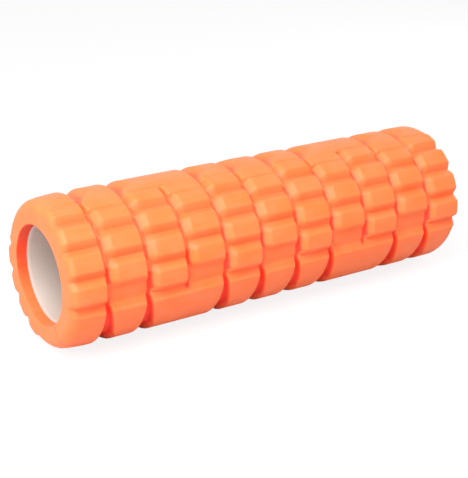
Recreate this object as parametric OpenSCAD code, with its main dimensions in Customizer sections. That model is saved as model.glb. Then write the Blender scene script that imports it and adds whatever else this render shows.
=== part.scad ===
// Foam roller: a thick foam sleeve with a tread of wide and small blocks, glued over a hollow core tube.
// The roller lies along X with +Z up, and its origin is on the axis at mid length.
// Angles around the roller are counted from the top (+Z) towards the front (-Y).

/* [Overall] */
// Length over the two end faces of the foam sleeve
overall_length = 448; // [320:4:640]
// Diameter over the tops of the blocks
overall_diameter = 142; // [124:1:180]

/* [Core tube] */
// Outer diameter of the rigid core tube
core_diameter = 94; // [60:1:96]
// Wall thickness of the core tube
core_wall = 2.5; // [2:0.5:8]
// Depth of each core end below the end face of the foam
core_recess = 10; // [2:1:24]
// Bevel on the core's four rim edges
core_bevel = 0.6; // [0.2:0.1:0.9]

/* [Glue film] */
// Thickness of the glue film between the core and the foam
film_thickness = 0.25; // [0.15:0.05:0.5]
// Distance from each core end to the edge of the glue film
film_margin = 5; // [1:1:20]

/* [Tread] */
// Number of block rings along the sleeve
ring_count = 11; // [7:1:15]
// Number of small blocks in a full row, found in the first ring and every second ring after it
full_row = 4; // [2:1:4]
// Angle from one small block to the next
block_angle = 23.3; // [18:0.1:24]
// Angle taken by one sloping side of a block
flank_angle = 5.9; // [3:0.1:8]
// Angle from the top to the valley along the straight edge of a wide block
zone_edge = 101; // [80:1:120]
// Depth of the valleys between small blocks
valley_depth = 5.5; // [3:0.5:6.5]
// Width of the flat floor of a valley
valley_floor = 1.6; // [0.8:0.1:3]
// Width of the crease between a wide block and its first small block
crease_width = 2.4; // [1.2:0.1:4]
// Depth of that crease
crease_depth = 2; // [0.5:0.1:3]

/* [Ring grooves] */
// Depth of the grooves between rings
groove_depth = 7.5; // [6.8:0.1:10]
// Width of a groove at its floor
groove_floor = 5; // [3:0.5:9]
// Extra width that each sloping groove wall adds at the block tops
groove_slope = 4; // [1:0.5:6]
// Rings between each end of the sleeve and the groove that wide blocks bridge
bridge_after = 3; // [1:1:3]

/* [Ends] */
// Radius of the rounded outer rim of the sleeve
rim_radius = 9; // [4:0.5:11]
// Bevel on the foam's bore edges
lip_bevel = 0.8; // [0.3:0.1:1.5]

/* [Hidden] */
$fn = 96;

crown_r = overall_diameter / 2;
core_r = core_diameter / 2;
core_length = overall_length - 2 * core_recess;
film_r = core_r + film_thickness;
bore_r = film_r;

// The end faces stand where a groove's floor would start, so every ring has the same block length.
ring_pitch = (overall_length + groove_floor) / ring_count;
valley_r = crown_r - valley_depth;
bridge_start = zone_edge + flank_angle;

// Radius of the plain foam that joins all the rings, half way between the bore and the groove floors
root_r = (bore_r + crown_r - groove_depth) / 2;
halves = [0, 180];

// Overshoot that keeps cutting shapes clear of the faces they cut
over = 1;

// Centre, along the roller, of the groove before ring i (rings are counted from 0)
function groove_at(i) = -overall_length / 2 + i * ring_pitch - groove_floor / 2;

// A row is full in the first ring, and one block shorter in the next, where it is moved by half a block.
function row_blocks(full) = full ? full_row : full_row - 1;
function row_edge(full) = full ? zone_edge : zone_edge - block_angle / 2;
function crease_at(full) = row_edge(full) - row_blocks(full) * block_angle + flank_angle;

// Half width of a straight-sided notch at the overshoot radius, from its half widths at floor and mouth
function flared(half_floor, half_mouth, depth) = half_mouth + (half_mouth - half_floor) * over / depth;

// Outline of a straight-sided notch cut into the crown at an angle
module notch(angle, floor_width, mouth_width, depth) {
    top = flared(floor_width / 2, mouth_width / 2, depth);
    rotate(angle)
        polygon([
            [crown_r - depth, -floor_width / 2],
            [crown_r - depth, floor_width / 2],
            [crown_r + over, top],
            [crown_r + over, -top]
        ]);
}

// Outline of the valley on one side of a small block
module valley(angle) {
    notch(angle, valley_floor, 2 * crown_r * sin(flank_angle), valley_depth);
}

// Outline of the low flat strip between two angles, where a shorter row leaves half a block free
module low_strip(from, to) {
    reach = (crown_r + over) / cos((to - from) / 2);
    difference() {
        polygon([
            [0, 0],
            reach * [cos(from), sin(from)],
            reach * [cos(to), sin(to)]
        ]);
        circle(r = valley_r);
    }
}

// Cross-section of one ring of the tread
module ring_section(full) {
    difference() {
        circle(r = crown_r);
        for (half = halves) {
            for (k = [0 : row_blocks(full) - 1])
                valley(half + row_edge(full) - k * block_angle);
            notch(half + crease_at(full), crease_width / 3, crease_width, crease_depth);
            if (!full) {
                valley(half + zone_edge);
                low_strip(half + row_edge(full), half + zone_edge);
            }
        }
    }
}

// One ring of blocks, with its share of the grooves still filled
module ring(i) {
    start = i == 0 ? -overall_length / 2 : groove_at(i);
    stop = i == ring_count - 1 ? overall_length / 2 : groove_at(i + 1);
    translate([0, 0, start])
        linear_extrude(stop - start)
            ring_section(i % 2 == 0);
}

// Cross-section, along the axis, of a groove centred on height 0
module groove_section() {
    half_floor = groove_floor / 2;
    top = flared(half_floor, half_floor + groove_slope, groove_depth);
    polygon([
        [crown_r - groove_depth, -half_floor],
        [crown_r + over, -top],
        [crown_r + over, top],
        [crown_r - groove_depth, half_floor]
    ]);
}

// Groove before ring i, cut all round or, where wide blocks bridge it, beside the small blocks only
module groove(i) {
    bridged = i == bridge_after || i == ring_count - bridge_after;
    translate([0, 0, groove_at(i)])
        if (bridged)
            for (half = halves)
                rotate([0, 0, half + crease_at(true)])
                    rotate_extrude(angle = bridge_start - crease_at(true))
                        groove_section();
        else
            rotate_extrude()
                groove_section();
}

// Everything outside the sleeve's ends, rounded rims and bevelled bore
module end_trim() {
    for (side = [0, 1])
        mirror([0, 0, side])
            translate([0, 0, overall_length / 2])
                rotate_extrude() {
                    difference() {
                        translate([crown_r - rim_radius, -rim_radius])
                            square(rim_radius + over);
                        translate([crown_r - rim_radius, -rim_radius])
                            circle(r = rim_radius);
                    }
                    polygon([
                        [bore_r - over, over],
                        [bore_r - over, -lip_bevel - over],
                        [bore_r, -lip_bevel],
                        [bore_r + lip_bevel, 0],
                        [bore_r + lip_bevel, over]
                    ]);
                }
}

// Lays a shape built along Z onto the X axis, with angle 0 at the top and 90 at the front
module laid_down() {
    rotate([0, 90, 0])
        rotate([0, 0, 180])
            children();
}

// Thick foam sleeve with the tread on its outside and a plain bore
module foam_sleeve() {
    color([1.0, 0.55, 0.3])
        laid_down()
            difference() {
                union() {
                    translate([0, 0, -overall_length / 2])
                        cylinder(r = root_r, h = overall_length);
                    for (i = [0 : ring_count - 1])
                        ring(i);
                }
                for (i = [1 : ring_count - 1])
                    groove(i);
                translate([0, 0, -overall_length / 2 - over])
                    cylinder(r = bore_r, h = overall_length + 2 * over);
                end_trim();
            }
}

// Thin film of glue that bonds the foam to the core
module glue_film() {
    film_length = core_length - 2 * film_margin;
    color([0.93, 0.88, 0.7])
        laid_down()
            translate([0, 0, -film_length / 2])
                difference() {
                    cylinder(r = film_r, h = film_length);
                    translate([0, 0, -over])
                        cylinder(r = core_r, h = film_length + 2 * over);
                }
}

// Rigid tube that carries the load, open right through
module core_tube() {
    color([0.87, 0.86, 0.85])
        laid_down()
            rotate_extrude()
                translate([core_r - core_wall, -core_length / 2])
                    polygon([
                        [core_bevel, 0],
                        [core_wall - core_bevel, 0],
                        [core_wall, core_bevel],
                        [core_wall, core_length - core_bevel],
                        [core_wall - core_bevel, core_length],
                        [core_bevel, core_length],
                        [0, core_length - core_bevel],
                        [0, core_bevel]
                    ]);
}

core_tube();
glue_film();
foam_sleeve();
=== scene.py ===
# %% [markdown]
# # A grid-tread foam roller
#
# A hollow massage roller is two things: a stiff plastic tube that carries a person's weight, and a thick
# sleeve of closed-cell foam that is moulded flat, wrapped once around the tube and glued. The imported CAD
# model gives the place and size of everything, so it is loaded first and its box is kept: the finished
# pieces have to stay inside it.

# %% The frame
import math

import bpy
import numpy as np
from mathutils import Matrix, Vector


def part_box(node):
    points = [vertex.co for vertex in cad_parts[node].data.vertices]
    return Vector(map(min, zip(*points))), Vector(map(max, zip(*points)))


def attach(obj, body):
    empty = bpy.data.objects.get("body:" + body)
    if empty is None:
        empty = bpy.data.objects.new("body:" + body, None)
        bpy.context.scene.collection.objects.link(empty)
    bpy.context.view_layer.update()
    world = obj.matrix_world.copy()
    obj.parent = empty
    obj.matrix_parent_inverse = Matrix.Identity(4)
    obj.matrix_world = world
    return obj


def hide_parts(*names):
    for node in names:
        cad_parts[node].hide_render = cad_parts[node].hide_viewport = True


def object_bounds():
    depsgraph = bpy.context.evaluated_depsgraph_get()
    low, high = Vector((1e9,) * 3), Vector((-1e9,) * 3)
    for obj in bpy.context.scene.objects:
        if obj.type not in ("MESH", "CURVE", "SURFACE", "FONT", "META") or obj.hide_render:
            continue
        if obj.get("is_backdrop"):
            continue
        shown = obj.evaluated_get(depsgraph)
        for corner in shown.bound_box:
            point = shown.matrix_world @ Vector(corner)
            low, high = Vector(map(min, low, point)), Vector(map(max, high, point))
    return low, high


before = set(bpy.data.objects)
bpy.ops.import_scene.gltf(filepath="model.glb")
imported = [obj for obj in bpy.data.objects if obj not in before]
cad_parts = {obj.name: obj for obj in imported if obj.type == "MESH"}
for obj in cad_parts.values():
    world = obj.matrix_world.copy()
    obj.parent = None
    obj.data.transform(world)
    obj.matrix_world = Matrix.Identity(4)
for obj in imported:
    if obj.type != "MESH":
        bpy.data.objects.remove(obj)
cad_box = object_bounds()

MM = 0.001
sleeve_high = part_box("foam_sleeve")[1]
core_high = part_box("core_tube")[1]
film_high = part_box("glue_film")[1]
HALF_LENGTH = sleeve_high.x / MM
CROWN_R = sleeve_high.z / MM
BORE_R = film_high.z / MM
CORE_R = core_high.z / MM
CORE_HALF_LENGTH = core_high.x / MM
print("sleeve, mm: half length %.2f, crown radius %.2f, bore radius %.2f" % (HALF_LENGTH, CROWN_R, BORE_R))
print("core, mm: half length %.2f, outer radius %.2f" % (CORE_HALF_LENGTH, CORE_R))

# %% [markdown]
# ## The tread, as numbers
#
# Eleven rings of blocks run around the sleeve, split by ring grooves. Around the roller, each ring has two
# wide blocks and between them two groups of small ones: four in the odd rings, three in the even rings,
# where everything is moved along by half a block, like bricks. A group starts at a crease and ends at the
# zone's edge, and the tread repeats every half turn. The odd rings are called full rows here and the even
# ones short rows. Angles start at the top and grow towards the front. Lengths are in millimetres until the
# mesh is made, and x is counted along the axis from mid length, below zero towards the near end.

# %% Sizes of the tread
RING_COUNT = 11
GROOVE_FLOOR = 5.0
RING_PITCH = (2 * HALF_LENGTH + GROOVE_FLOOR) / RING_COUNT
BRIDGED = (3, RING_COUNT - 3)

BLOCK_ANGLE = 23.3
FLANK_ANGLE = 5.9
ZONE_EDGE = 101.0
FULL_ROW = 4
VALLEY_DEPTH = 6.4
VALLEY_FLOOR = 0.3
VALLEY_REACH = 7.0
CREASE_DEPTH = 1.1
CREASE_SPREAD = 2.4 / 2.6
HALF_TURN = 180.0
SEAM_ANGLE = 144.5
MM_PER_DEGREE = CROWN_R * math.pi / HALF_TURN

full_row_edge = ZONE_EDGE
short_row_edge = ZONE_EDGE - BLOCK_ANGLE / 2
full_crease = full_row_edge - FULL_ROW * BLOCK_ANGLE + FLANK_ANGLE
short_crease = short_row_edge - (FULL_ROW - 1) * BLOCK_ANGLE + FLANK_ANGLE
groove_centres = -HALF_LENGTH + RING_PITCH * np.arange(1, RING_COUNT) - GROOVE_FLOOR / 2
print("ring pitch %.2f mm, creases at %.2f and %.2f degrees" % (RING_PITCH, full_crease, short_crease))

# %% [markdown]
# ## Soft edges
#
# Moulded foam has no sharp edges: a corner is a small curve, on the crowns and in the floors alike. A
# bevel modifier could round them, but here every shape is a depth below the crown, and depths can be
# joined by a smooth maximum, which rounds each corner by a chosen amount in the same step.


# %% Smooth maximum, minimum and step
def soft_max(a, b, k):
    """Half of a + b + sqrt((a - b)^2 + k^2): the larger of two depths, with a rounded corner."""
    return 0.5 * (a + b + np.sqrt((a - b) ** 2 + k * k))


def soft_min(a, b, k):
    """Less the soft maximum of -a and -b: the smaller of two depths, with a rounded corner."""
    return -soft_max(-a, -b, k)


def smooth_step(x):
    """3x^2 - 2x^3 between 0 and 1, flat outside."""
    x = np.clip(x, 0.0, 1.0)
    return x * x * (3.0 - 2.0 * x)


print("soft maximum of two equal depths of 5 mm, with k 0.8 mm: %.2f mm" % soft_max(5.0, 5.0, 0.8))

# %% [markdown]
# ## Two kinds of cut
#
# A cut is written as a signed depth: its floor depth over the floor, falling along its wall to zero at the
# mouth, and going on below zero over the crown. Keeping the part below zero is what lets two cuts that
# cross share a rounded corner, as if a ball-nosed tool had gone round each block of the mould.


# %% Signed valley and rounded crossing
VALLEY_SOFT = 0.2


def valley(distance, half_floor, half_mouth, floor_depth):
    """Signed depth of a straight-sided valley: slope times (half_mouth - |distance|), held to its floor."""
    slope = floor_depth / (half_mouth - half_floor)
    return soft_min(slope * (half_mouth - np.abs(distance)), floor_depth, VALLEY_SOFT)


def crossing(a, b, corner):
    """Root of (a + corner)^2 + (b + corner)^2, less corner: two signed cuts that meet in a round corner."""
    return np.hypot(np.maximum(a + corner, 0.0), np.maximum(b + corner, 0.0)) - corner


example = valley(np.array([0.0, 2.0, 4.0, 6.0, 9.0]), VALLEY_FLOOR / 2, VALLEY_REACH, VALLEY_DEPTH)
print("a valley's signed depths over 9 mm:", np.round(example, 2))

# %% [markdown]
# ## Where the surface is sampled
#
# An even grid would spend most of its faces on the plain crowns. The grid lines are packed where the tread
# bends: a density is written for each direction, summed up, and cut into equal shares. Close to each end the
# lines follow a quarter circle, so that the rounded rim gets them too. The angles start and end at the glued
# seam, so that the pattern of the finish breaks there, as it does on the real sheet.


# %% Grid lines along and around
FINE_COUNT = 8001


def spread(low, high, density, count):
    """Positions between low and high that cut the summed density into equal shares."""
    fine = np.linspace(low, high, FINE_COUNT)
    total = np.concatenate([[0.0], np.cumsum((density(fine[1:]) + density(fine[:-1])) / 2)])
    return np.interp(np.linspace(0, total[-1], count), total, fine)


def near(position, centres, reach, soft):
    """1 within reach of any centre, fading to 0 over soft."""
    distance = np.min(np.abs(position[:, None] - np.asarray(centres)[None, :]), axis=1)
    return 1.0 - smooth_step((distance - reach) / soft)


RIM_RADIUS = 7.0
RIM_STEPS = 10
ALONG_COUNT = 256
AROUND_COUNT = 326
FULL_TURN = 360
ALONG_DENSITY = {"crowns": 0.2, "grooves": 1.0}
AROUND_DENSITY = {"wide blocks": 0.3, "small blocks": 0.9, "creases": 0.9, "seam": 2.0}
GROUP_MARGIN = 6


def along_density(x):
    """Dense within 8.5 mm of each ring groove's centre, and down to the crowns' density over 3 mm more."""
    return ALONG_DENSITY["crowns"] + ALONG_DENSITY["grooves"] * near(x, groove_centres, 8.5, 3.0)


def around_density(angle):
    """Dense over both groups of small blocks, more so at the creases, and most at the seam: a plain sum."""
    folded = np.mod(angle, HALF_TURN)
    group_half = (ZONE_EDGE - full_crease) / 2
    small = near(folded, [(full_crease + ZONE_EDGE) / 2], group_half + GROUP_MARGIN, 4.0)
    creases = near(folded, [full_crease, short_crease], 1.6, 1.5)
    seam = near(angle, [SEAM_ANGLE, SEAM_ANGLE + FULL_TURN], 0.5, 1.0)
    blocks = AROUND_DENSITY["wide blocks"] + AROUND_DENSITY["small blocks"] * small
    return blocks + AROUND_DENSITY["creases"] * creases + AROUND_DENSITY["seam"] * seam


rim_angle = np.linspace(0, math.pi / 2, RIM_STEPS + 1)[:-1]
rim_offset = RIM_RADIUS * (1 - np.cos(rim_angle))
inner_half = HALF_LENGTH - RIM_RADIUS
along_inner = spread(-inner_half, inner_half, along_density, ALONG_COUNT)
along = np.concatenate([-HALF_LENGTH + rim_offset, along_inner, HALF_LENGTH - rim_offset[::-1]])
around = spread(SEAM_ANGLE, SEAM_ANGLE + FULL_TURN, around_density, AROUND_COUNT + 1)[:-1]
print("grid: %d lines along, %d around" % (len(along), len(around)))

# %% [markdown]
# ## The depth of the tread
#
# On the real sleeve the tread is moulded in one go by a ribbed plate. Here it grows from two kinds of cut:
# the valleys, which run along the axis, and the ring grooves, which run around it. This cell writes the
# first kind: valleys between small blocks, a thin crease beside each wide block, and the low strip that
# fills a short row up to the zone's edge.


# %% Valleys, creases and low strips
NEVER = -30.0


def valley_cut(angle, full):
    """Signed depth of one row: the largest of its valleys and, in a short row, of its low strip."""
    edge = full_row_edge if full else short_row_edge
    first, count = (0, FULL_ROW) if full else (1, FULL_ROW - 1)
    folded = np.mod(angle, HALF_TURN)
    signed = np.full_like(angle, NEVER)
    for k in range(first, count):
        centre = edge - k * BLOCK_ANGLE
        distance = (folded - centre) * MM_PER_DEGREE
        signed = np.maximum(signed, valley(distance, VALLEY_FLOOR / 2, VALLEY_REACH, VALLEY_DEPTH))
    if not full:
        middle = (short_row_edge + ZONE_EDGE) / 2
        reach = (ZONE_EDGE - short_row_edge) / 2 * MM_PER_DEGREE
        distance = (folded - middle) * MM_PER_DEGREE
        strip = valley(distance, reach + VALLEY_FLOOR / 2, reach + VALLEY_REACH, VALLEY_DEPTH)
        signed = np.maximum(signed, strip)
    return signed


def crease_depth(angle, full):
    """CREASE_DEPTH times exp(-(distance / CREASE_SPREAD)^2), from where the group of small blocks starts."""
    crease = full_crease if full else short_crease
    distance = (np.mod(angle, HALF_TURN) - crease) * MM_PER_DEGREE
    return CREASE_DEPTH * np.exp(-((distance / CREASE_SPREAD) ** 2))


def row_by_row(x, in_full, in_short):
    """Values over angles, laid out over places along the axis: one set in full rows, one in short rows."""
    full = (np.searchsorted(groove_centres, x) % 2 == 0)[:, None]
    return np.where(full, in_full[None, :], in_short[None, :])


sample = np.array([0.0, 31.1, 54.4, 89.4, 101.0])
for full, row_name in ((True, "full row"), (False, "short row")):
    print(row_name, "cuts at", sample, "degrees, mm:", np.round(valley_cut(sample, full), 1))

# %% [markdown]
# ## Ring grooves
#
# Between small blocks the ring grooves are narrow: one wall is steep, and the other leans about as far as
# the valleys' flanks do. Between wide blocks they are broad, deep and steep, and each runs out to a point at
# its two ends. A share turns one kind into the other. It follows the row beyond the groove, because a short
# row's wide block reaches further round than a full row's.

# %% Ring grooves
SMALL_GROOVE = {"near_mouth": -5.8, "near_foot": -3.6, "far_foot": -1.4, "far_mouth": 6.4, "floor_depth": 6.5}
WIDE_GROOVE = {"near_mouth": -6.2, "near_foot": -4.4, "floor_depth": 7.2}
WIDE_FOOT_CLOSED = -3.4
WIDE_FOOT_TRAVEL = 12.5
EDGE_RUN_START = ZONE_EDGE + 1.0
EDGE_RUN = 40.0
CREASE_RUN = 16.0
WIDE_LEAN = 3.0
WIDE_LEAN_MORE = 2.4
LEAN_START = 150.0
LEAN_RUN = 30.0
SOFT = 0.6
LOOK_BEYOND = GROOVE_FLOOR + 1.0
GROOVE_BLEND = ((-2.0, 3.0), (-5.0, 8.0))


def ring_cut(x, near_mouth, near_foot, far_foot, far_mouth, floor_depth):
    """Signed depth of a ring groove whose two walls lean differently: the least of two walls and a floor."""
    near_wall = floor_depth * (x - near_mouth) / (near_foot - near_mouth)
    far_wall = floor_depth * (far_mouth - x) / (far_mouth - far_foot)
    return soft_min(np.minimum(near_wall, far_wall), floor_depth, SOFT)


def wide_far_wall(angle):
    """Where the far wall of a wide groove has its foot and its mouth: the groove runs out to a point.

    The foot moves out in a line over the first 40 degrees from the zone's edge, and over the last 16 before
    the crease it moves back. The mouth lies 3 mm further out, and up to 2.4 mm more towards the crease.
    """
    folded = np.mod(angle - full_crease, HALF_TURN) + full_crease
    from_edge = np.clip((folded - EDGE_RUN_START) / EDGE_RUN, 0, 1)
    from_crease = np.clip((HALF_TURN + full_crease - folded) / CREASE_RUN, 0, 1)
    foot = WIDE_FOOT_CLOSED + WIDE_FOOT_TRAVEL * np.minimum(from_edge, from_crease)
    lean = WIDE_LEAN + WIDE_LEAN_MORE * smooth_step((folded - LEAN_START) / LEAN_RUN)
    return foot, foot + lean


def group_share(angle, crease, blend):
    """1 over a group of small blocks, 0 over the wide blocks: a smooth step up times a smooth step down.

    blend holds two pairs, one for the step up at the crease and one for the step down at the zone's edge:
    how many degrees past that angle the step starts, and how many degrees it takes.
    """
    folded = np.mod(angle, HALF_TURN)
    (up_start, up_run), (down_start, down_run) = blend
    up = smooth_step((folded - crease - up_start) / up_run)
    down = smooth_step((folded - ZONE_EDGE - down_start) / down_run)
    return up * (1 - down)


def share_beyond(x, angle):
    """The group share of the row that lies 6 mm further along, across the groove at hand."""
    in_full = group_share(angle, full_crease, GROOVE_BLEND)
    in_short = group_share(angle, short_crease, GROOVE_BLEND)
    return row_by_row(x + LOOK_BEYOND, in_full, in_short)


sample = np.array([0.0, 50.0, 90.0, 98.0, 130.0])
shares = group_share(sample, full_crease, GROOVE_BLEND)
print("share of small blocks at", sample, "degrees:", np.round(shares, 2))

# %% [markdown]
# ## Both cuts together
#
# Where a valley meets a ring groove the corners of the blocks are rounded, but only on the side that leans.
# The wide blocks bridge two of the ring grooves, so those two are lifted out over the wide blocks. The sum of
# it all is one array of depths, which the next cells bend round the roller.

# %% The whole tread
CROSSING_ROUND = 2.4
ROUND_START = -2.6
ROUND_RUN = 2.2
CROWN_K = 0.35
LIFT = 12.0
BRIDGE_BLEND = ((-1.0, 3.0), (0.0, 6.0))
SMALL_LIMIT = 6.7
WIDE_LIMIT = 7.8


def tread_depth(x, angle):
    """Depth below the crown, and the depth of the ring grooves alone, in mm, over places and angles.

    The valleys of each row and all ring grooves meet in a soft maximum, which turns into the rounded
    crossing on the far side of each groove, and is held to the depth limit of its zone. The creases are
    added to that, and fade where it is already deep.
    """
    valleys = row_by_row(x, valley_cut(angle, True), valley_cut(angle, False))
    creases = row_by_row(x, crease_depth(angle, True), crease_depth(angle, False))
    share = share_beyond(x, angle)
    bridged = (1 - group_share(angle, full_crease, BRIDGE_BLEND))[None, :]
    foot, mouth = (edge[None, :] for edge in wide_far_wall(angle))
    groove = np.full(valleys.shape, NEVER)
    for number, centre in enumerate(groove_centres, start=1):
        narrow = ring_cut(x[:, None] - centre, **SMALL_GROOVE)
        broad = ring_cut(x[:, None] - centre, far_foot=foot, far_mouth=mouth, **WIDE_GROOVE)
        lift = bridged * LIFT if number in BRIDGED else 0.0
        groove = np.maximum(groove, share * narrow + (1 - share) * broad - lift)
    nearest = groove_centres[np.argmin(np.abs(x[:, None] - groove_centres[None, :]), axis=1)]
    far_side = smooth_step((x - nearest - ROUND_START) / ROUND_RUN)[:, None]
    square = soft_max(valleys, groove, SOFT)
    round_corner = crossing(valleys, groove, CROSSING_ROUND)
    limit = WIDE_LIMIT + (SMALL_LIMIT - WIDE_LIMIT) * share
    met = soft_min(square + (round_corner - square) * far_side, limit, SOFT)
    open_depth = soft_max(met, 0.0, CROWN_K) - soft_max(-CROSSING_ROUND, 0.0, CROWN_K)
    return np.maximum(open_depth, 0) + creases * np.exp(-open_depth), np.maximum(groove, 0)


depth, groove_depth = tread_depth(along, around)
print("tread depth runs from %.2f to %.2f mm" % (depth.min(), depth.max()))

# %% [markdown]
# ## From a grid to a mesh
#
# A grid of points becomes a mesh by joining each point to its neighbours in the next row and column. Where
# the last column meets the first, and the last row the first, the indices wrap round, so no seam of double
# points is left to show in the shading.


# %% Grid to mesh
def grid_mesh(name, points, coords):
    """Quads over a grid of points (rows, columns, 3), closed over its columns and its rows.

    Rows run along the profile and columns around the axis. coords gives each corner its place in the
    finish, in metres. It has one row and one column more, where the grid has come round to its start.
    """
    rows, columns = points.shape[:2]
    i, j = np.meshgrid(np.arange(rows), np.arange(columns), indexing="ij")
    i2, j2 = (i + 1) % rows, (j + 1) % columns
    quads = np.stack([i * columns + j, i2 * columns + j, i2 * columns + j2, i * columns + j2], -1)
    mesh = bpy.data.meshes.new(name)
    mesh.from_pydata(points.reshape(-1, 3), [], quads.reshape(-1, 4))
    uv = np.stack([coords[i, j], coords[i + 1, j], coords[i + 1, j + 1], coords[i, j + 1]], 2).reshape(-1, 2)
    layer = mesh.uv_layers.new(name="surface")
    layer.data.foreach_set("uv", uv.astype(np.float32).ravel())
    mesh.shade_smooth()
    piece = bpy.data.objects.new(name, mesh)
    bpy.context.scene.collection.objects.link(piece)
    return piece


def on_roller(x, radius, angle):
    """Points (x, -radius sin(angle), radius cos(angle)), in metres, from millimetres and degrees."""
    turn = np.radians(angle)
    return np.stack([x + 0 * turn, -radius * np.sin(turn), radius * np.cos(turn)], -1) * MM


print("the top of the roller, m:", np.round(on_roller(0.0, CROWN_R, 0.0), 4))

# %% [markdown]
# ## The foam sleeve's ends and seam
#
# The outer edges of the real sleeve are rounded over, valleys included. A bevel would follow every block and
# valley, so the rim is a fall of the radius close to each end instead. The wide blocks fall further, and
# those of the near end slope down a little before their corner. The seam is where the two edges of the
# wrapped sheet are glued: a shallow line along the whole sleeve and across both end faces.

# %% Ends of the tread
BLOCK_RIM = {"near": (6.5, 8.5), "far": (4.5, 5.0)}
WIDE_RIM = {"near": (10.0, 9.0), "far": (8.0, 8.0)}
WIDE_SLOPE_LENGTH = 30.0
WIDE_SLOPE_FALL = 2.6
WIDE_SLOPE_POWER = 1.5
RIM_BLEND = ((-4.0, 8.0), (0.0, 10.0))


def end_drop(x, angle):
    """How far the rim has fallen at x: a quarter of an ellipse, fall times (1 - sqrt(1 - t^2)).

    t grows from 0 to 1 over the reach of the rim. The wide blocks fall further, and at the near end they
    also slope down gently before their corner.
    """
    wide = (1 - group_share(angle, full_crease, RIM_BLEND))[None, :]
    at_near_end = (x < 0)[:, None]
    block_reach = np.where(at_near_end, BLOCK_RIM["near"][0], BLOCK_RIM["far"][0])
    block_fall = np.where(at_near_end, BLOCK_RIM["near"][1], BLOCK_RIM["far"][1])
    wide_reach = np.where(at_near_end, WIDE_RIM["near"][0], WIDE_RIM["far"][0])
    wide_fall = np.where(at_near_end, WIDE_RIM["near"][1], WIDE_RIM["far"][1])
    reach = block_reach + (wide_reach - block_reach) * wide
    fall = block_fall + (wide_fall - block_fall) * wide
    to_end = (HALF_LENGTH - np.abs(x))[:, None]
    t = np.clip(1 - to_end / reach, 0, 1)
    slope = np.clip(1 - to_end / WIDE_SLOPE_LENGTH, 0, 1) ** WIDE_SLOPE_POWER
    return fall * (1 - np.sqrt(1 - t * t)) + WIDE_SLOPE_FALL * slope * wide * at_near_end


SEAM_WIDTH = 0.55
SEAM_DIP = 0.5
seam_gap = (np.mod(around - SEAM_ANGLE + HALF_TURN, FULL_TURN) - HALF_TURN) * MM_PER_DEGREE
seam_dip = np.exp(-((seam_gap / SEAM_WIDTH) ** 2))
tread_r = CROWN_R - depth - end_drop(along, around) - SEAM_DIP * seam_dip[None, :]
tread_x = np.repeat(along[:, None], len(around), axis=1)
print("rim radius at the end: %.1f to %.1f mm" % (tread_r[0].min(), tread_r[0].max()))

# %% [markdown]
# ## The foam sleeve as one skin
#
# The sleeve is one closed skin: over the tread with its rims, down the far end, back through the bore with
# its lips, and out over the near end. Every row of the grid is one turn around the axis, so stacking the rows
# of these four stretches and closing the last row on the first gives a watertight piece with no poles. Its
# map holds metres along that profile and metres around, for the finish to follow.

# %% Sleeve skin
FACE_STEPS = 6
LIP = 0.8
LIP_STEPS = 4
BORE_ROWS = 9
BORE_MARGIN = 3
CLOSING_STEP = 1.0
ones = np.ones(len(around))
inward_share = np.linspace(0, 1, FACE_STEPS + 1)[1:, None]
far_face_r = tread_r[-1] * (1 - inward_share) + (BORE_R + LIP) * inward_share
near_face_r = (tread_r[0] * (1 - inward_share) + (BORE_R + LIP) * inward_share)[::-1]
face_x = HALF_LENGTH - SEAM_DIP * np.repeat(seam_dip[None, :], FACE_STEPS, axis=0)

lip_angle = np.linspace(0, math.pi / 2, LIP_STEPS + 1)[1:]
bore_x = np.linspace(HALF_LENGTH - BORE_MARGIN, -HALF_LENGTH + BORE_MARGIN, BORE_ROWS)
lip_x = HALF_LENGTH - LIP * (1 - np.cos(lip_angle))
lip_r = BORE_R + LIP * (1 - np.sin(lip_angle))
inside_x = np.concatenate([lip_x, bore_x, -lip_x[::-1]])[:, None] * ones
inside_r = np.concatenate([lip_r, np.full(BORE_ROWS, BORE_R), lip_r[::-1]])[:, None] * ones

skin_x = np.concatenate([tread_x, face_x, inside_x, -face_x])
skin_r = np.concatenate([tread_r, far_face_r, inside_r, near_face_r])
skin = on_roller(skin_x, skin_r, around[None, :])
travel = np.concatenate([[0], np.cumsum(np.hypot(np.diff(skin_x[:, 0]), np.diff(skin_r[:, 0])))])
travel = np.append(travel, travel[-1] + CLOSING_STEP)
turn = np.append(around, around[0] + FULL_TURN) * MM_PER_DEGREE
coords = np.stack(np.broadcast_arrays(travel[:, None], turn[None, :]), -1) * MM
sleeve = grid_mesh("foam_sleeve_skin", skin, coords)
print("sleeve skin: %d faces" % len(sleeve.data.polygons))

# %% [markdown]
# ## Painted shade in the grooves and the bore
#
# Orange light that bounces between the walls of a groove comes back redder each time, and few renders follow
# enough bounces for it. So the skin carries an attribute of painted shade, 0 on the crowns and 1 in the
# deepest corners, that the foam's material turns into a redder colour. Any depth adds a slight painted shade,
# and the strong one starts deep down, or higher up in the wide grooves of the lower side and in the pockets
# in front of the lower small blocks, which see the least direct light. The bore gets a little of it all round
# and more at the top, where its wall faces down and is shaded, and the glued seam is given the same red along
# its line.

# %% Groove mask on the skin
# Painted shade: these numbers set how red the foam is painted where light would leave it shaded.
LOW_START = 0.6
BLOCK_END = 2.5
POCKET = 0.55
DEEP_START = 5.6
SHADED_EARLIER = 5.2
DEEP_RUN = 3.4
SMALL_SHORTER = 1.6
VALLEY_EXTRA = 1.5
SHALLOW_START = 1.5
SHALLOW_RUN = 4.0
SHALLOW_SHARE = 0.12
BORE_LOW = 0.15
BORE_TOP_MORE = 0.65
BORE_START = 0.75
SEAM_MASK = 0.6

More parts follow.
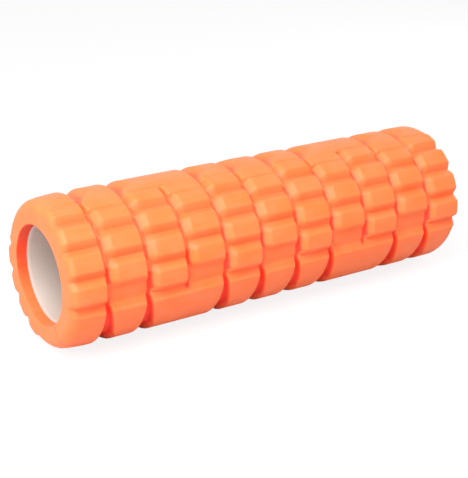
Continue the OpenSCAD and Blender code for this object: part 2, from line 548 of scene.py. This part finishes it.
height = np.cos(np.radians(around))
low = smooth_step(LOW_START - height)[None, :]
small = share_beyond(along, around)
cut_beyond = row_by_row(along + LOOK_BEYOND, valley_cut(around, True), valley_cut(around, False))
on_block = 1 - smooth_step(cut_beyond / BLOCK_END)
shaded = low * (1 - small + POCKET * small * on_block)
counted = np.minimum(depth, groove_depth + VALLEY_EXTRA)
# The strong painted shade: from depth, and sooner on the lower side and in the pockets before the lower
# blocks.
deep = smooth_step((counted - DEEP_START + SHADED_EARLIER * shaded) / (DEEP_RUN - SMALL_SHORTER * small))
# A slight painted shade in any valley.
shallow = smooth_step((depth - SHALLOW_START) / SHALLOW_RUN)
painted_shade_mask = np.zeros(skin_r.shape)
painted_shade_mask[: len(along)] = SHALLOW_SHARE * shallow + (1 - SHALLOW_SHARE) * deep
first_inside = len(along) + FACE_STEPS
faces_down = smooth_step(height + BORE_START)[None, :]
# Painted shade in the bore: a little all round, most at the top, where the wall faces down.
painted_shade_mask[first_inside : first_inside + len(inside_x)] = BORE_LOW + BORE_TOP_MORE * faces_down
# The seam's line is given the same red.
painted_shade_mask = np.maximum(painted_shade_mask, SEAM_MASK * seam_dip[None, :])
# The attribute carries the painted shade to the foam's material.
layer = sleeve.data.attributes.new("groove", "FLOAT", "POINT")
layer.data.foreach_set("value", painted_shade_mask.astype(np.float32).ravel())
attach(sleeve, "root")
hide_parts("foam_sleeve")
print("groove attribute, mean over the skin: %.2f" % painted_shade_mask.mean())

# %% [markdown]
# ## The core tube
#
# The core is an extruded plastic tube, sawn to length, that carries the weight. It could be a cylinder with
# a hole cut through it. A profile carried round the axis gives cleaner faces: the outer edge of each sawn end
# has a small round, and the inner edge has been reamed to a long chamfer.

# %% Core tube
CORE_WALL = 2.5
CORE_ROUND = 0.5
CORE_ROUND_STEPS = 4
REAM_DEPTH = 3.0
CORE_SIDES = 160
CORE_ROWS = 12
corner = np.linspace(0, math.pi / 2, CORE_ROUND_STEPS + 1)
ends = CORE_HALF_LENGTH - CORE_ROUND
outer = CORE_R - CORE_ROUND
inner = CORE_R - CORE_WALL
straight = np.linspace(-ends, ends, CORE_ROWS)
bored = np.linspace(CORE_HALF_LENGTH - REAM_DEPTH, -CORE_HALF_LENGTH + REAM_DEPTH, CORE_ROWS)
profile = np.concatenate([
    np.stack([straight, np.full(CORE_ROWS, CORE_R)], 1),
    np.stack([ends + CORE_ROUND * np.sin(corner[1:]), outer + CORE_ROUND * np.cos(corner[1:])], 1),
    np.stack([bored, np.full(CORE_ROWS, inner)], 1),
    np.stack([-ends - CORE_ROUND * np.cos(corner[:-1]), outer + CORE_ROUND * np.sin(corner[:-1])], 1),
])
core_angle = np.arange(CORE_SIDES) * FULL_TURN / CORE_SIDES
core_points = on_roller(profile[:, :1], profile[:, 1:], core_angle[None, :])
steps = np.diff(np.vstack([profile, profile[:1]]), axis=0)
travel = np.concatenate([[0], np.cumsum(np.hypot(steps[:, 0], steps[:, 1]))])
turn = np.arange(CORE_SIDES + 1) * 2 * math.pi * CORE_R / CORE_SIDES
coords = np.stack(np.broadcast_arrays(travel[:, None], turn[None, :]), -1) * MM
core = grid_mesh("core_tube_wall", core_points, coords)
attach(core, "root")
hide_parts("core_tube")
print("core tube: %d faces" % len(core.data.polygons))

# %% [markdown]
# ## The finishes
#
# All three materials come out of a mould, a die or a nozzle, and carry faint marks of it: fine grain, long
# streaks in the direction of flow, and slow patches where the surface is a little glossier. Three noise
# textures do it. Written out in each material they would soon differ, so they are one node group with its
# own values in each. It gives out a colour, a roughness and a height. First come the helpers that add nodes.
# A Mix node has its colour sockets behind those for numbers and vectors, so they are taken by their number.


# %% Node helpers
MIX_FIRST = 6
MIX_SECOND = 7
MIX_RESULT = 2


def add_node(tree, kind, **values):
    """A node of a kind, with its named properties set."""
    node = tree.nodes.new(kind)
    for name, value in values.items():
        setattr(node, name, value)
    return node


def math_node(tree, operation, a, b):
    """A Math node over two inputs, each a socket or a number."""
    node = add_node(tree, "ShaderNodeMath", operation=operation)
    for socket, value in zip(node.inputs, (a, b)):
        if isinstance(value, (int, float)):
            socket.default_value = value
        else:
            tree.links.new(value, socket)
    return node.outputs[0]


def noise_node(tree, vector, scale, detail):
    """A Noise Texture read at a vector, with its scale from a socket."""
    node = add_node(tree, "ShaderNodeTexNoise")
    tree.links.new(vector, node.inputs["Vector"])
    tree.links.new(scale, node.inputs["Scale"])
    node.inputs["Detail"].default_value = detail
    return node.outputs["Fac"]


def color_mix(tree, factor, first, second):
    """The first colour turning into the second by a factor, in a Mix node set to colours."""
    node = add_node(tree, "ShaderNodeMix", data_type="RGBA")
    node.inputs[MIX_FIRST].default_value = (*first, 1)
    node.inputs[MIX_SECOND].default_value = (*second, 1)
    tree.links.new(factor, node.inputs["Factor"])
    return node.outputs[MIX_RESULT]


def shader_mix(tree, factor, first, second):
    """The first shader turning into the second by a factor, in a Mix Shader node."""
    node = add_node(tree, "ShaderNodeMixShader")
    for socket, source in zip(node.inputs, (factor, first, second)):
        tree.links.new(source, socket)
    return node.outputs[0]


print("node helpers ready; a Mix node's colour sockets are", MIX_FIRST, "and", MIX_SECOND)

# %% [markdown]
# ## The group itself
#
# The streaks are noise that is drawn out along the piece: the coordinate along counts for little, so it
# changes slowly that way. Streaks and patches move the colour up and down together: where it is paler it is
# also less saturated, as dusty plastic is. The patches alone move the roughness, and grain and streaks
# together make the height for the bump.

# %% Moulded surface group
ALONG_SQUEEZE = 0.06
GRAIN_HEIGHT = 0.4
moulded = bpy.data.node_groups.new("moulded surface", "ShaderNodeTree")
for name, kind, value in (
    ("Vector", "NodeSocketVector", None),
    ("Color", "NodeSocketColor", (1, 1, 1, 1)),
    ("Roughness", "NodeSocketFloat", 0.5),
    ("Grain Scale", "NodeSocketFloat", 900.0),
    ("Streak Scale", "NodeSocketFloat", 120.0),
    ("Patch Scale", "NodeSocketFloat", 22.0),
    ("Streak Strength", "NodeSocketFloat", 0.1),
    ("Patch Strength", "NodeSocketFloat", 0.1),
):
    socket = moulded.interface.new_socket(name, in_out="INPUT", socket_type=kind)
    if value is not None:
        socket.default_value = value
moulded.interface.new_socket("Color", in_out="OUTPUT", socket_type="NodeSocketColor")
moulded.interface.new_socket("Roughness", in_out="OUTPUT", socket_type="NodeSocketFloat")
moulded.interface.new_socket("Height", in_out="OUTPUT", socket_type="NodeSocketFloat")

inward = add_node(moulded, "NodeGroupInput").outputs
outward = add_node(moulded, "NodeGroupOutput").inputs
stretch = add_node(moulded, "ShaderNodeVectorMath", operation="MULTIPLY")
moulded.links.new(inward["Vector"], stretch.inputs[0])
stretch.inputs[1].default_value = (ALONG_SQUEEZE, 1.0, 1.0)
grain = noise_node(moulded, inward["Vector"], inward["Grain Scale"], detail=2.0)
streak = noise_node(moulded, stretch.outputs[0], inward["Streak Scale"], detail=3.0)
patch = noise_node(moulded, inward["Vector"], inward["Patch Scale"], detail=3.0)
streak_swing = math_node(moulded, "SUBTRACT", streak, 0.5)
streak_part = math_node(moulded, "MULTIPLY", streak_swing, inward["Streak Strength"])
patch_swing = math_node(moulded, "SUBTRACT", patch, 0.5)
patch_part = math_node(moulded, "MULTIPLY", patch_swing, inward["Patch Strength"])
both = math_node(moulded, "ADD", streak_part, patch_part)
tone = add_node(moulded, "ShaderNodeHueSaturation")
moulded.links.new(inward["Color"], tone.inputs["Color"])
moulded.links.new(math_node(moulded, "ADD", both, 1.0), tone.inputs["Value"])
moulded.links.new(math_node(moulded, "SUBTRACT", 1.0, both), tone.inputs["Saturation"])
moulded.links.new(tone.outputs[0], outward["Color"])
moulded.links.new(math_node(moulded, "ADD", inward["Roughness"], patch_part), outward["Roughness"])
grain_height = math_node(moulded, "MULTIPLY", grain, GRAIN_HEIGHT)
streak_height = math_node(moulded, "MULTIPLY", streak, 1 - GRAIN_HEIGHT)
moulded.links.new(math_node(moulded, "ADD", grain_height, streak_height), outward["Height"])
print("group %r: %d nodes" % (moulded.name, len(moulded.nodes)))


# %% [markdown]
# ## From the group to a material
#
# Each material is a Principled shader fed by the group. The coordinates come from the piece's own map where
# it has one, because that follows the profile, and from the object where it has none.

# %% A material that uses the group
def moulded_material(name, color, roughness, vector_from, bump_mm, **values):
    """A Principled material whose colour, roughness and bump come through the moulded surface group.

    color is a colour, or a function that is given the node tree and gives back a socket. vector_from
    is the same for the pattern's coordinates.
    """
    material = bpy.data.materials.new(name)
    material.use_nodes = True
    tree = material.node_tree
    shader = tree.nodes["Principled BSDF"]
    group = add_node(tree, "ShaderNodeGroup", node_tree=moulded)
    tree.links.new(vector_from(tree), group.inputs["Vector"])
    if callable(color):
        tree.links.new(color(tree), group.inputs["Color"])
    else:
        group.inputs["Color"].default_value = (*color, 1)
    group.inputs["Roughness"].default_value = roughness
    for socket, value in values.items():
        group.inputs[socket.replace("_", " ")].default_value = value
    tree.links.new(group.outputs["Color"], shader.inputs["Base Color"])
    tree.links.new(group.outputs["Roughness"], shader.inputs["Roughness"])
    bump = add_node(tree, "ShaderNodeBump")
    bump.inputs["Distance"].default_value = bump_mm * MM
    bump.inputs["Strength"].default_value = 1.0
    tree.links.new(group.outputs["Height"], bump.inputs["Height"])
    tree.links.new(bump.outputs["Normal"], shader.inputs["Normal"])
    return material


def surface_map(tree):
    """The piece's own UV map: metres along the profile and metres around."""
    return add_node(tree, "ShaderNodeUVMap", uv_map="surface").outputs["UV"]


def object_place(tree):
    """Object coordinates, for pieces that bring no map of their own."""
    return add_node(tree, "ShaderNodeTexCoord").outputs["Object"]


print("material helper ready")

# %% [markdown]
# ## Orange foam
#
# The foam is dyed right through, so wear doesn't change its colour. Its moulded skin is closed and half
# matt, mirrors less than hard plastic does, and has a faint bloom at grazing angles, which is a little sheen
# here. The attribute made with the skin holds painted shade. It moves the colour from the crowns' orange to
# the red that light bouncing in the shaded grooves and bore would give.

# %% Foam material
FOAM_CROWN = (1.0, 0.186, 0.048)
# The second colour is the red of painted shade in the grooves and the bore, not a colour the foam has.
FOAM_PAINTED_SHADE = (1.0, 0.046, 0.014)


def foam_color(tree):
    """Crown colour turning to the red of painted shade by the groove attribute."""
    mask = add_node(tree, "ShaderNodeAttribute", attribute_name="groove")
    return color_mix(tree, mask.outputs["Fac"], FOAM_CROWN, FOAM_PAINTED_SHADE)


foam = moulded_material(
    "orange foam", foam_color, roughness=0.50, vector_from=surface_map, bump_mm=0.12,
    Grain_Scale=1400.0, Streak_Scale=260.0, Patch_Scale=45.0, Streak_Strength=0.04, Patch_Strength=0.06,
)
shader = foam.node_tree.nodes["Principled BSDF"]
shader.inputs["Sheen Weight"].default_value = 0.05
shader.inputs["Sheen Roughness"].default_value = 0.5
shader.inputs["Specular IOR Level"].default_value = 0.35
sleeve.data.materials.append(foam)
print("foam material on", sleeve.name)

# %% [markdown]
# ## Grey core and glue
#
# The tube is extruded, so its streaks run along it and it is nearly matt. Its warm grey is partly the orange
# light that the foam throws on it. The glue has cured to a thin amber film between tube and foam. It keeps
# its shape from the CAD model, so it only gets a material here.

# %% Core and glue materials
CORE_GREY = (0.46, 0.39, 0.345)
GLUE_AMBER = (0.62, 0.45, 0.20)
plastic = moulded_material(
    "core plastic", CORE_GREY, roughness=0.6, vector_from=surface_map, bump_mm=0.05,
    Grain_Scale=700.0, Streak_Scale=420.0, Patch_Scale=20.0, Streak_Strength=0.08, Patch_Strength=0.06,
)
core.data.materials.append(plastic)
glue = moulded_material(
    "cured glue", GLUE_AMBER, roughness=0.30, vector_from=object_place, bump_mm=0.10,
    Grain_Scale=500.0, Streak_Scale=300.0, Patch_Scale=60.0, Streak_Strength=0.1, Patch_Strength=0.25,
)
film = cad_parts["glue_film"]
film.data.materials.clear()
film.data.materials.append(glue)
print("materials:", [m.name for m in bpy.data.materials])

# %% [markdown]
# ## Floor
#
# The roller lies on a plain pale floor. To the camera the floor is white, mostly as plain light of strength
# one, and the rest keeps its real shading and with it the roller's soft shadow. To every other ray it is a
# mid grey, so that it doesn't light the roller from below as strongly as white paper would.

# %% Floor
FLOOR_GREY = (0.55, 0.55, 0.55)
WHITE = (1.0, 1.0, 1.0)
FLOOR_HALF = 8.0
FLOOR_WHITE_SHARE = 0.85
FLOOR_ROUGHNESS = 0.9
floor_z = -CROWN_R * MM
corners = [(x * FLOOR_HALF, y * FLOOR_HALF, floor_z) for x, y in ((-1, -1), (1, -1), (1, 1), (-1, 1))]
floor_mesh = bpy.data.meshes.new("floor")
floor_mesh.from_pydata(corners, [], [(0, 1, 2, 3)])
floor = bpy.data.objects.new("floor", floor_mesh)
bpy.context.scene.collection.objects.link(floor)
floor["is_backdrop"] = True
paint = bpy.data.materials.new("floor paint")
paint.use_nodes = True
tree = paint.node_tree
shader = tree.nodes["Principled BSDF"]
shader.inputs["Roughness"].default_value = FLOOR_ROUGHNESS
white_light = add_node(tree, "ShaderNodeEmission")
camera_ray = add_node(tree, "ShaderNodeLightPath").outputs["Is Camera Ray"]
white_share = math_node(tree, "MULTIPLY", camera_ray, FLOOR_WHITE_SHARE)
tree.links.new(color_mix(tree, camera_ray, FLOOR_GREY, WHITE), shader.inputs["Base Color"])
surface = shader_mix(tree, white_share, shader.outputs[0], white_light.outputs[0])
tree.links.new(surface, tree.nodes["Material Output"].inputs["Surface"])
floor_mesh.materials.append(paint)
print("floor at %.1f mm" % (floor_z / MM))

# %% [markdown]
# ## World
#
# A studio's walls fill the shadows. The world does that at a moderate level, and looks white to camera,
# mirror and glass rays, which is the white background.

# %% World
WORLD_LEVEL = 0.54
world = bpy.data.worlds.new("studio")
bpy.context.scene.world = world
world.use_nodes = True
tree = world.node_tree
tree.nodes.clear()
ambient = add_node(tree, "ShaderNodeBackground")
ambient.inputs["Color"].default_value = (*WHITE, 1)
ambient.inputs["Strength"].default_value = WORLD_LEVEL
seen = add_node(tree, "ShaderNodeBackground")
seen.inputs["Color"].default_value = (*WHITE, 1)
ray = add_node(tree, "ShaderNodeLightPath").outputs
direct = math_node(tree, "MAXIMUM", ray["Is Camera Ray"], ray["Is Glossy Ray"])
direct = math_node(tree, "MAXIMUM", direct, ray["Is Transmission Ray"])
surface = shader_mix(tree, direct, ambient.outputs[0], seen.outputs[0])
tree.links.new(surface, add_node(tree, "ShaderNodeOutputWorld").inputs["Surface"])
print("world level", WORLD_LEVEL)

# %% [markdown]
# ## Lamps
#
# Large softboxes give the soft edges of a product picture. The key light comes from above, in front and to
# the left, so the blocks' upper sides and near ends are pale and their lower flanks are not. One box looks
# into the near end and lights the lower part of the bore, and the others fill in from the left, the front
# and the right.


# %% Lamps
def softbox(name, place, size, power):
    """A square area lamp at a place, facing the roller."""
    data = bpy.data.lights.new(name, "AREA")
    data.size = size
    data.energy = power
    lamp = bpy.data.objects.new(name, data)
    lamp.location = place
    lamp.rotation_euler = (-Vector(place)).to_track_quat("-Z", "Y").to_euler()
    bpy.context.scene.collection.objects.link(lamp)


softbox("key", place=(-0.68, -0.56, 1.42), size=0.9, power=27)
softbox("near end", place=(-1.35, -0.62, 0.72), size=0.6, power=14)
softbox("left side", place=(-1.45, 0.35, 0.55), size=0.6, power=3)
softbox("front", place=(-0.3, -1.4, -0.02), size=1.0, power=4)
softbox("right side", place=(1.5, 0.25, 0.2), size=0.6, power=12)
print("lamps:", [light.name for light in bpy.data.lights])

# %% [markdown]
# ## Camera
#
# A long lens from the front left and a little above shows the near end, the bore and the whole tread, with
# hardly any perspective. The distance and the target grow with the crown's radius, so that the view stays the
# same if the roller is made larger. Cycles draws what it sees through the Standard view, which adds no curve
# of its own to the colours.

# %% Camera
LENS_MM = 92.88
SENSOR_MM = 36.0
AZIMUTH = math.radians(-33.553)
ELEVATION = math.radians(20.544)
DISTANCE_RADII = 17.2812
TARGET_ALONG_RADII = 2.98589
TARGET_DOWN_RADII = 0.11809
radius = CROWN_R * MM
target = Vector((TARGET_ALONG_RADII * radius - HALF_LENGTH * MM, 0, -TARGET_DOWN_RADII * radius))
flat = math.cos(ELEVATION)
backwards = Vector((math.sin(AZIMUTH) * flat, -math.cos(AZIMUTH) * flat, math.sin(ELEVATION)))
camera_data = bpy.data.cameras.new("camera")
camera_data.sensor_width = SENSOR_MM
camera_data.lens = LENS_MM
camera = bpy.data.objects.new("camera", camera_data)
camera.location = target + backwards * radius * DISTANCE_RADII
camera.rotation_euler = (-backwards).to_track_quat("-Z", "Y").to_euler()
bpy.context.scene.collection.objects.link(camera)
bpy.context.scene.camera = camera
bpy.context.scene.view_settings.view_transform = "Standard"
print("camera %.2f m from its target" % (radius * DISTANCE_RADII))

# %% [markdown]
#
# The finished pieces stay inside the CAD model's box, give or take a little. Both boxes are written down so
# that they can be compared.

visual_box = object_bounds()
boxes = {"cad": [list(corner) for corner in cad_box], "visual": [list(corner) for corner in visual_box]}
for name, (low, high) in boxes.items():
    print(name, "box, mm:", [round((b - a) / MM, 2) for a, b in zip(low, high)])
